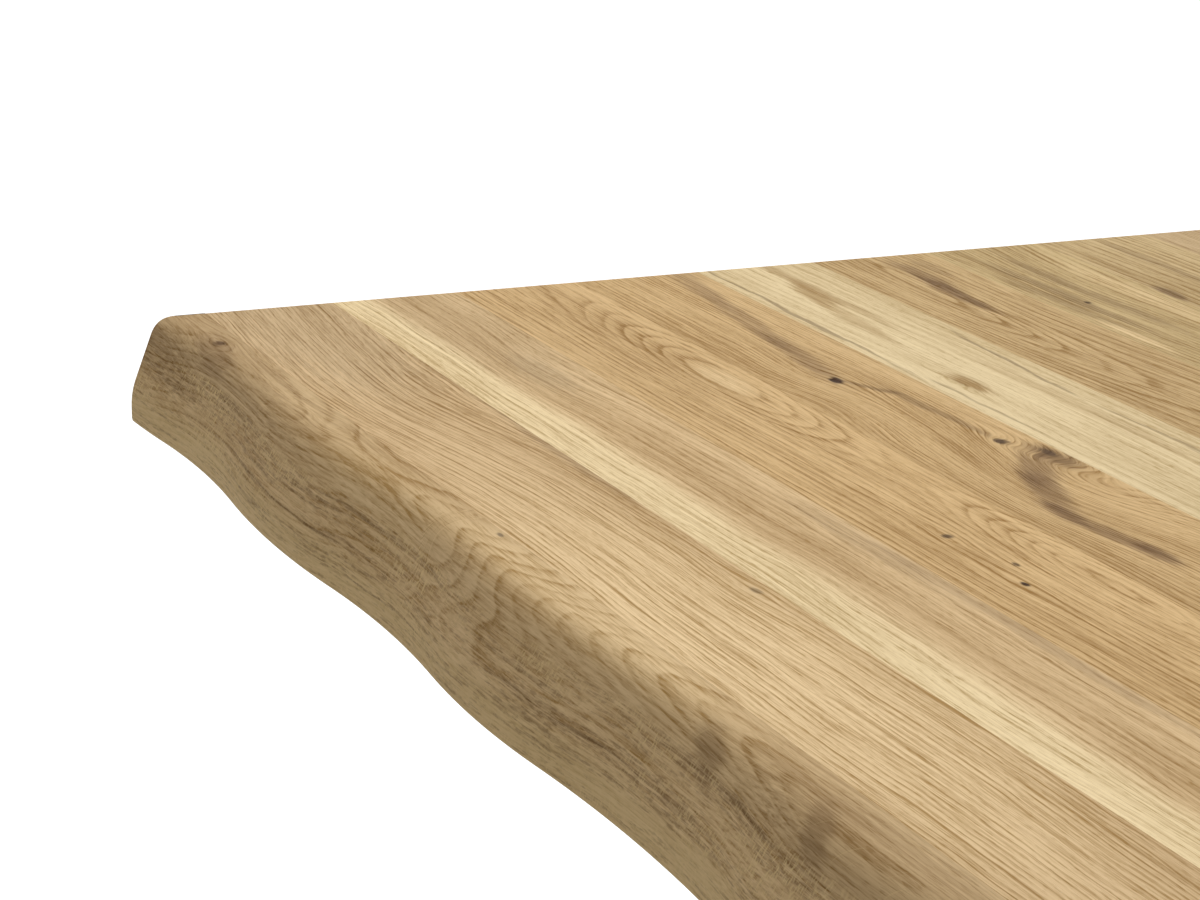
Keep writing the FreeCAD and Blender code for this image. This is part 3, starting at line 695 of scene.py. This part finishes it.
def square_end(end):
    """Saw the stave off at one end (-1 or 1), then plane its two arrises soft."""
    cuts = [(HALF_LENGTH, UNDERSIDE + THICKNESS / 2, 0.0)]
    for degrees in TOP_TILTS:
        angle = math.radians(degrees)
        back, down = TOP_ARRIS * (1 - math.cos(angle)), TOP_ARRIS * (1 - math.sin(angle))
        cuts.append((HALF_LENGTH - back, UNDERSIDE + THICKNESS - down, angle))
    for degrees in LOWER_TILTS:
        angle = math.radians(degrees)
        back, up = LOWER_ARRIS * (1 - math.cos(angle)), LOWER_ARRIS * (1 - math.sin(angle))
        cuts.append((HALF_LENGTH - back, UNDERSIDE + up, -angle))
    for x, z, angle in cuts:
        bpy.ops.mesh.select_all(action="SELECT")
        bpy.ops.mesh.bisect(plane_co=mm(end * x, 0, z), plane_no=(end * math.cos(angle), 0, math.sin(angle)),
                            use_fill=True, clear_outer=True)


def live_edge(name, shift, joint):
    """One edge stave along the front line, with its glue joint at y = joint."""
    path = wave_path(shift)
    first = max(n for n, wave in enumerate(path) if wave[3] > 0 and wave[0] < -HALF_LENGTH)
    middle, radius, centre_y, side = path[first]
    bpy.ops.object.select_all(action="DESELECT")
    draw_section(middle, centre_y - radius)
    spin_waves(path[first:])
    bpy.ops.mesh.select_all(action="SELECT")
    bpy.ops.mesh.remove_doubles(threshold=mm(MERGE_WITHIN)[0])
    for height in (UNDERSIDE, UNDERSIDE + THICKNESS):
        pick(lambda place: abs(place.z - height) < TOUCH)
        bpy.ops.mesh.extrude_region_move(TRANSFORM_OT_translate={"value": mm(0, PULL, 0)})
        bpy.ops.transform.resize(value=(1, 0, 1), center_override=mm(0, joint, 0))
    pick(lambda place: abs(place.y - joint) < TOUCH)
    bpy.ops.mesh.bridge_edge_loops()
    square_end(-1)
    square_end(1)
    bpy.ops.mesh.select_all(action="SELECT")
    bpy.ops.mesh.normals_make_consistent(inside=False)
    bpy.ops.object.mode_set(mode="OBJECT")
    piece = bpy.context.object
    piece.name = piece.data.name = name
    bpy.ops.object.shade_smooth_by_angle(angle=SMOOTH_UNDER)
    return piece


front_edge = live_edge("front_live_edge", 0.0, FRONT_JOINT)
print("front edge:", len(front_edge.data.polygons), "faces")

# %% [markdown]
# ## The back edge
#
# The back edge is the same cut on another stretch of the waves, in a wider stave. It is
# modelled at the front and turned half round the table's middle in edit mode, so that
# the object stays unturned and its grain keeps its place. A mirror would turn the mesh
# inside out and show the same waves twice.

# %% The back edge, and a comparison with the solids
BACK_SHIFT = 545.0
BACK_JOINT = -(TOP_CORNER[1] + FRONT_JOINT_OF_STAVE[STAVES])

back_edge = live_edge("back_live_edge", BACK_SHIFT, BACK_JOINT)
bpy.ops.object.select_all(action="DESELECT")
back_edge.select_set(True)
bpy.context.view_layer.objects.active = back_edge
bpy.ops.object.mode_set(mode="EDIT")
bpy.ops.mesh.select_all(action="SELECT")
bpy.ops.transform.rotate(value=math.pi, orient_axis="Z", center_override=(0, 0, 0))
bpy.ops.object.mode_set(mode="OBJECT")
for piece, node in ((front_edge, "front_edge_stave"), (back_edge, "back_edge_stave")):
    low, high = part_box(node)
    mesh_low = [min(v.co[axis] for v in piece.data.vertices) for axis in range(3)]
    mesh_high = [max(v.co[axis] for v in piece.data.vertices) for axis in range(3)]
    print(piece.name, len(piece.data.polygons), "faces, off the solid's box by mm:",
          [round((a - b) * MM_IN_M, 2) for a, b in zip(mesh_low, low)],
          [round((a - b) * MM_IN_M, 2) for a, b in zip(mesh_high, high)])

# %% [markdown]
# ## Finish of the live edges
#
# On the crown the cutter slices the rings at a low angle, so they swirl in wide loops,
# and at the crests they stack in arcs. Below a wavy line the face runs along the rings,
# and shows close dark streaks with pale rays between them. The same solid pattern gives
# the swirls. A second material with a border would show a seam, so the streaky layer is
# blended in under the line.

# %% Streaky face
EDGE_DARK = tone(100, 70, 34)
EDGE_PALE = tone(212, 184, 132)

# features of the face, in millimetres along the edge, across it and up
FACE_WANDER, WANDER_REACH = (130, 4000, 4000), 13.0
STREAK, FACE_GRAIN, FACE_BAND = (42, 20, 0.75), (6, 5, 0.9), (150, 60, 3.5)
RAY_PATCH, RAY, SCRATCH, SEAM_BREAK = (70, 60, 16), (0.8, 3.0, 2.6), (24, 0.8, 40), (150, 60, 60)
RAY_TURN, SCRATCH_TURN = (0.0, 22.0, 0.0), (0.0, 0.0, 38.0)

# heights on the face, down from the top, each where a layer starts and where it is full; the paler foot is
# painted bounce light from the floor
FACE_LINE, UNDER_LINE, PAINTED_BOUNCE_LIGHT, CREST_LINE = (-8.5, -12.0), (-39.9, -39.0), (-22.0, -34.0), (-9.0, -6.0)
SEAMS, SEAM_WIDTH = ((-13.0, 0.5), (-24.0, 0.55)), 1.3

# the pale flecks near the far corner: along, across, length, width, slant, depth
FLECKS = (88, -6, 26, 40, 0.0, 26.0)


def milled_face(tree, place, wood):
    """The streaky lower face of the live edge, under a line that wanders along it."""
    wander = place.noise(FACE_WANDER, 71.0, 2.0) * WANDER_REACH
    face = Place(tree, place.along, place.across, place.up - wander)
    below = face.up.between(*FACE_LINE) * place.up.between(*UNDER_LINE)
    streaks = face.noise(STREAK, 73.0, 3.0, 0.65).between(-0.07, 0.1)
    grains = face.noise(FACE_GRAIN, 74.0, 2.0, 0.6).between(-0.05, 0.12)
    bands = face.noise(FACE_BAND, 75.0, 3.0).between(-0.2, 0.2)
    patches = place.noise(RAY_PATCH, 77.0, 2.0).between(-0.1, 0.2)
    rays = place.noise(RAY, 79.0, 1.0, 0.5, RAY_TURN).between(0.0, 0.18)
    scratches = place.noise(SCRATCH, 83.0, 1.0, 0.5, SCRATCH_TURN).between(0.16, 0.24)
    flecks = hill(place, *FLECKS)
    # painted bounce light: the lower face is blended paler towards its foot, as if lit from the floor
    wood = blend(tree, place.up.between(*PAINTED_BOUNCE_LIGHT) * 0.6, wood, EDGE_PALE)
    wood = blend(tree, below * (streaks * 0.42 + grains * 0.34 + bands * 0.36 - 0.46), wood, EDGE_DARK)
    for height, amount in SEAMS:
        seam = ((face.up - height) / SEAM_WIDTH).join("ABSOLUTE").between(1.0, 0.0)
        broken = place.noise(SEAM_BREAK, 87.0 - height, 2.0).between(-0.05, 0.12)
        wood = blend(tree, seam * broken * (streaks * 0.7 + 0.3) * amount, wood, UMBER)
    wood = blend(tree, below * rays * (patches * 0.75 + flecks * 0.9 + 0.15), wood, EDGE_PALE)
    return blend(tree, scratches * face.up.between(*CREST_LINE) * 0.25, wood, EDGE_PALE)


print("streaky face with", len(SEAMS), "seams")

# %% [markdown]
# ## The edges' own boards
#
# The two edge staves have a figure of their own too. The pith lies just below them, so
# the rings come up steeply through the face. The new meshes take the place of the
# solids, and ride on the table's body with the rest of the top.

# %% Finish the live edges
edge_boards = {
    "front": dict(
        colour=(197, 168, 124), pith=(26, -62), year=1.4, wander=0.7, sway=0.35, line=0.34, deep=16.0,
        bends=[(140, -10, 60, 30, 4.0)],
        fins=[(306, -4, 150, 60, -12.0), (905, -10, 110, 50, -8.0), (1560, -8, 120, 60, -10.0)],
        knots=[(52, 6, 26, 8, 0.8), (188, 8, 18, 7, 0.7), (334, 13, 12, 4, 0.5)],
        swells=[
            (235, -10, 70, 60, 0, -4.0), (52, 6, 12, 5, 0, 2.0), (780, -14, 90, 20, 0, -5.0),
            (1130, 0, 120, 22, 0, 6.0), (1500, -12, 80, 18, 0, -5.0), (1840, 2, 100, 20, 0, 6.0),
        ],
        stains=[
            (53, 6, 4, 1.7, 0, 0.9, BLACK_KNOT), (62, 2, 24, 6, -0.1, 0.39, PLUM),
            (334, 13, 2.5, 1.0, 0, 0.9, BLACK_KNOT), (528, -2, 15, 5, -0.4, 0.45, UMBER),
            (598, -3, 13, 5, -0.5, 0.42, UMBER), (30, -12, 110, 8, 0, 0.39, UMBER),
            (420, 8, 110, 9, 0, 0.5, GOLD), (40, -2, 150, 30, 0, 0.24, UMBER),
            (650, -2, 110, 24, 0, 0.26, UMBER), (265, -4, 60, 14, 0, 0.3, GOLD),
            (1135, -2, 30, 4, 0, 0.47, PLUM), (1160, -2, 5, 1.6, 0, 1.0, BLACK_KNOT),
        ],
        seed=3.1, extra=milled_face,
    ),
    "back": dict(
        colour=(197, 168, 124), pith=(850, -62), year=1.4, wander=0.7, sway=0.35, line=0.34, deep=16.0,
        swells=[(430, 850, 70, 24, 0, 5.0), (1100, 860, 90, 20, 0, -4.0), (1620, 845, 60, 20, 0, 5.0)],
        stains=[(700, 862, 40, 5, 0, 0.47, PLUM), (738, 862, 5, 1.8, 0, 1.0, BLACK_KNOT)],
        knots=[(738, 862, 28, 8, 0.75)], seed=5.7, extra=milled_face,
    ),
}
for piece, node, side in ((front_edge, "front_edge_stave", "front"), (back_edge, "back_edge_stave", "back")):
    piece.data.materials.clear()
    piece.data.materials.append(oak("oak_%s_edge" % side, **edge_boards[side]))
    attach(piece, "table")
    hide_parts(node)
print("live edges finished")

# %% [markdown]
# ## Powder coat
#
# The frames are powder coated: the baked powder leaves a fine pebbled skin, black but
# never even, and a little dust gathers near the floor. A plain black with some
# roughness would look like plastic. One noise at the powder's true scale gives both
# the uneven sheen and the relief.

# %% Powder coat
PEBBLE, COAT_CLOUD, DUST = (1.1, 1.1, 1.1), (60, 60, 60), (14, 14, 14)
DUST_HEIGHT, POWDER_RELIEF = 70.0, 0.00018


def powder_coat():
    """Black baked powder on steel."""
    material, shader = new_finish("black_powder_coat")
    tree = material.node_tree
    place = place_on(material)
    pebbles = place.noise(PEBBLE, 5.0, 2.0)
    cloud = place.noise(COAT_CLOUD, 9.0, 2.0)
    dust = place.up.between(DUST_HEIGHT, 0.0) * (place.noise(DUST, 15.0, 3.0) + 0.5)
    sheen = (cloud + pebbles * 0.6 + 0.5).join("MAXIMUM", 0.0)
    coat = blend(tree, sheen, tone(26, 26, 27), tone(44, 44, 45))
    coat = blend(tree, dust * 0.25, coat, tone(120, 116, 110))
    tree.links.new(coat, shader.inputs["Base Color"])
    feed(tree, shader.inputs["Roughness"], pebbles * 0.25 + 0.52)
    relief(material, shader, pebbles, POWDER_RELIEF)
    return material


coated = powder_coat()
print("made", coated.name)

# %% [markdown]
# ## Zinc plate and threads
#
# Bolts, washers and inserts are zinc plated, a pale metal with a cloudy bloom. The
# studs of the feet are threaded. A modelled helix would cost thousands of triangles on
# a piece that hardly shows, so its turns are grooves in the relief, at the true pitch.

# %% Zinc plate
BLOOM, PLATE_GRAIN = (5, 5, 5), (0.5, 0.5, 0.5)
PLATE_RELIEF, THREAD_RELIEF, STUD_PITCH = 0.00004, 0.0005, 1.5


def zinc_plate(name, pitch=None):
    """Zinc on steel, with the turns of a thread where a pitch in millimetres is given."""
    material, shader = new_finish(name)
    tree = material.node_tree
    place = place_on(material)
    bloom = place.noise(BLOOM, 21.0, 3.0)
    fine = place.noise(PLATE_GRAIN, 25.0, 2.0)
    plate = blend(tree, bloom.between(-0.25, 0.25), tone(176, 180, 184), tone(214, 216, 216))
    height, depth = fine, PLATE_RELIEF
    if pitch:
        groove = ((place.up / pitch).join("FRACT") - 0.5).join("ABSOLUTE") * 2.0
        # painted shade: the colour is darkened in the thread's valleys
        plate = blend(tree, groove * 0.35, plate, tone(92, 94, 96))
        height, depth = groove * -1.0, THREAD_RELIEF
    tree.links.new(plate, shader.inputs["Base Color"])
    shader.inputs["Metallic"].default_value = 1.0
    feed(tree, shader.inputs["Roughness"], bloom * 0.3 + fine * 0.2 + 0.36)
    relief(material, shader, height, depth)
    return material


plated = zinc_plate("zinc_plate")
threaded = zinc_plate("zinc_thread", pitch=STUD_PITCH)
print("made", plated.name, "and", threaded.name)

# %% [markdown]
# ## Moulded nylon
#
# The bases of the feet are moulded nylon. The mould is spark etched, which leaves an
# even fine grain, and the plastic flows in faint clouds. A smooth black would shine
# like glass at this size, so grain goes into the roughness as well as the relief.

# %% Moulded nylon
NYLON_GRAIN, NYLON_FLOW, NYLON_RELIEF = (0.6, 0.6, 0.6), (12, 12, 30), 0.00008


def moulded_nylon():
    """Black nylon from a spark-etched mould."""
    material, shader = new_finish("moulded_nylon")
    tree = material.node_tree
    place = place_on(material)
    grain = place.noise(NYLON_GRAIN, 31.0, 2.0)
    flow = place.noise(NYLON_FLOW, 35.0, 2.0)
    mottle = (flow + grain * 0.5 + 0.5).join("MAXIMUM", 0.0)
    nylon = blend(tree, mottle, tone(22, 22, 23), tone(38, 38, 38))
    tree.links.new(nylon, shader.inputs["Base Color"])
    feed(tree, shader.inputs["Roughness"], grain * 0.3 + 0.58)
    relief(material, shader, grain, NYLON_RELIEF)
    return material


moulded = moulded_nylon()
print("made", moulded.name)

# %% [markdown]
# ## Give out the finishes
#
# The metal and nylon pieces are the frame's own solids, with arrises and slots as they
# should be, so they only get a finish. Their names say what they are. The first start
# of a name that fits decides, so the channels' screws come before the channels.

# %% Give out the finishes
finish_of = {
    "channel_screws": plated, "frame_bolts": plated, "frame_washers": plated, "top_inserts": plated,
    "rivet_nuts": plated, "foot_stud": threaded, "foot_base": moulded, "channel": coated,
    "frame_plate": coated, "frame_runner": coated, "frame_upright": coated, "frame_welds": coated,
}
finished = 0
for name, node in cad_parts.items():
    start = next((key for key in finish_of if name.startswith(key)), None)
    if start:
        node.data.materials.clear()
        node.data.materials.append(finish_of[start])
        finished += 1
print("metal and nylon pieces finished:", finished)

# %% [markdown]
# ## The floor
#
# The photograph is a cut-out on white. More light would bleach the oak before the floor
# turned white. So the floor is pale, and a little glow that only the camera and mirror
# rays see lifts the open floor to full white, while the table's shadow stays.

# %% Floor
FLOOR_SIZE = 60.0
GLOW_NEAR, GLOW_FAR = 900.0, 2600.0  # from the table's middle
GLOW_UNDER, GLOW_RISE = 0.25, 0.5


def to_the_eye(tree):
    """1 on what the camera sees, straight or in a mirror, and 0 for the light that falls on things."""
    path = tree.nodes.new("ShaderNodeLightPath")
    seen = Varying(tree, path.outputs["Is Camera Ray"])
    for ray in ("Is Glossy Ray", "Is Transmission Ray"):
        seen = seen.join("MAXIMUM", Varying(tree, path.outputs[ray]))
    return seen


bpy.ops.object.select_all(action="DESELECT")
bpy.ops.mesh.primitive_plane_add(size=FLOOR_SIZE, location=(0, 0, 0))
floor = bpy.context.object
floor.name = "floor"
floor_finish, floor_shader = new_finish("pale_floor")
floor_shader.inputs["Base Color"].default_value = tone(225, 225, 225)
floor_shader.inputs["Roughness"].default_value = 0.9
floor_tree = floor_finish.node_tree
floor_shader.inputs["Emission Color"].default_value = (1, 1, 1, 1)
ground = place_on(floor_finish)
away = (ground.along * ground.along + ground.across * ground.across).join("SQRT")
# the glow is painted light; it is weaker near the table, so it also paints a grey shade round the table
# beside its real shadow
glow = to_the_eye(floor_tree) * (away.between(GLOW_NEAR, GLOW_FAR) * GLOW_RISE + GLOW_UNDER)
feed(floor_tree, floor_shader.inputs["Emission Strength"], glow)
floor.data.materials.append(floor_finish)
print("floor:", FLOOR_SIZE, "m wide")

# %% [markdown]
# ## Light
#
# In the photograph the top is evenly lit and the front face lies in half shade. A sun
# would draw hard shadows. One wide lamp hangs over the far end and leaves the face
# darker, and an even sky fills the rest. The sky is full white to the camera only.

# %% Light
SKY_FILL, LAMP_SIZE, LAMP_POWER = 0.45, 3.0, 55.0
LAMP_PLACE, LAMP_AIM = Vector((-1.4, 0.8, 3.2)), Vector((-0.4, -0.1, 0.76))

world = bpy.data.worlds.new("studio")
bpy.context.scene.world = world
world.use_nodes = True
sky = world.node_tree.nodes["Background"]
sky.inputs["Color"].default_value = (1, 1, 1, 1)
feed(world.node_tree, sky.inputs["Strength"], to_the_eye(world.node_tree) * (1.0 - SKY_FILL) + SKY_FILL)

lamp_data = bpy.data.lights.new("soft_lamp", "AREA")
lamp_data.shape = "RECTANGLE"
lamp_data.size = LAMP_SIZE
lamp_data.size_y = LAMP_SIZE
lamp_data.energy = LAMP_POWER
lamp = bpy.data.objects.new("soft_lamp", lamp_data)
lamp.location = LAMP_PLACE
lamp.rotation_euler = (LAMP_AIM - LAMP_PLACE).to_track_quat("-Z", "Y").to_euler()
bpy.context.scene.collection.objects.link(lamp)
print("lamp: %.0f W, %.1f m wide" % (LAMP_POWER, LAMP_SIZE))
